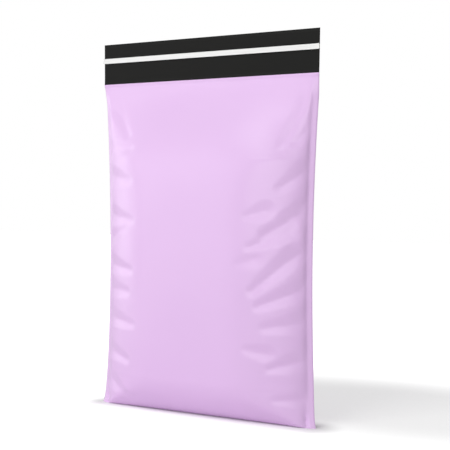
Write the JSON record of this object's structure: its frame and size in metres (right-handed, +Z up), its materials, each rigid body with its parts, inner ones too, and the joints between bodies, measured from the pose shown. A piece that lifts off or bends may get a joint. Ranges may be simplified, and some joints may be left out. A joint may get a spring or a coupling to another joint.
{
  "type": "poly mailer bag",
  "caption": "Filled plastic mailing bag standing on its flattened bottom, with heat-sealed sides, a black-lined closing lip and a peel-off strip over its glue.",
  "frame": {"origin": "on the floor, in the middle of the flattened bottom", "axes": "+Z up towards the lip, +X to the bag's right as seen from the front, -Y out of the front panel, on the side of the mouth and the glue strip"},
  "size_m": [0.25, 0.0538, 0.3703],
  "materials": {
    "lilac_film": "soft satin polyethylene film, lilac outside and matt black on the inner face of the lip",
    "hot_melt_glue": "clear to cream pressure-sensitive glue",
    "white_liner": "smooth white release film"
  },
  "bodies": {
    "root": {"mailer_pouch": "lilac_film", "adhesive_strip": "hot_melt_glue", "release_liner": "white_liner"}
  },
  "joints": []
}
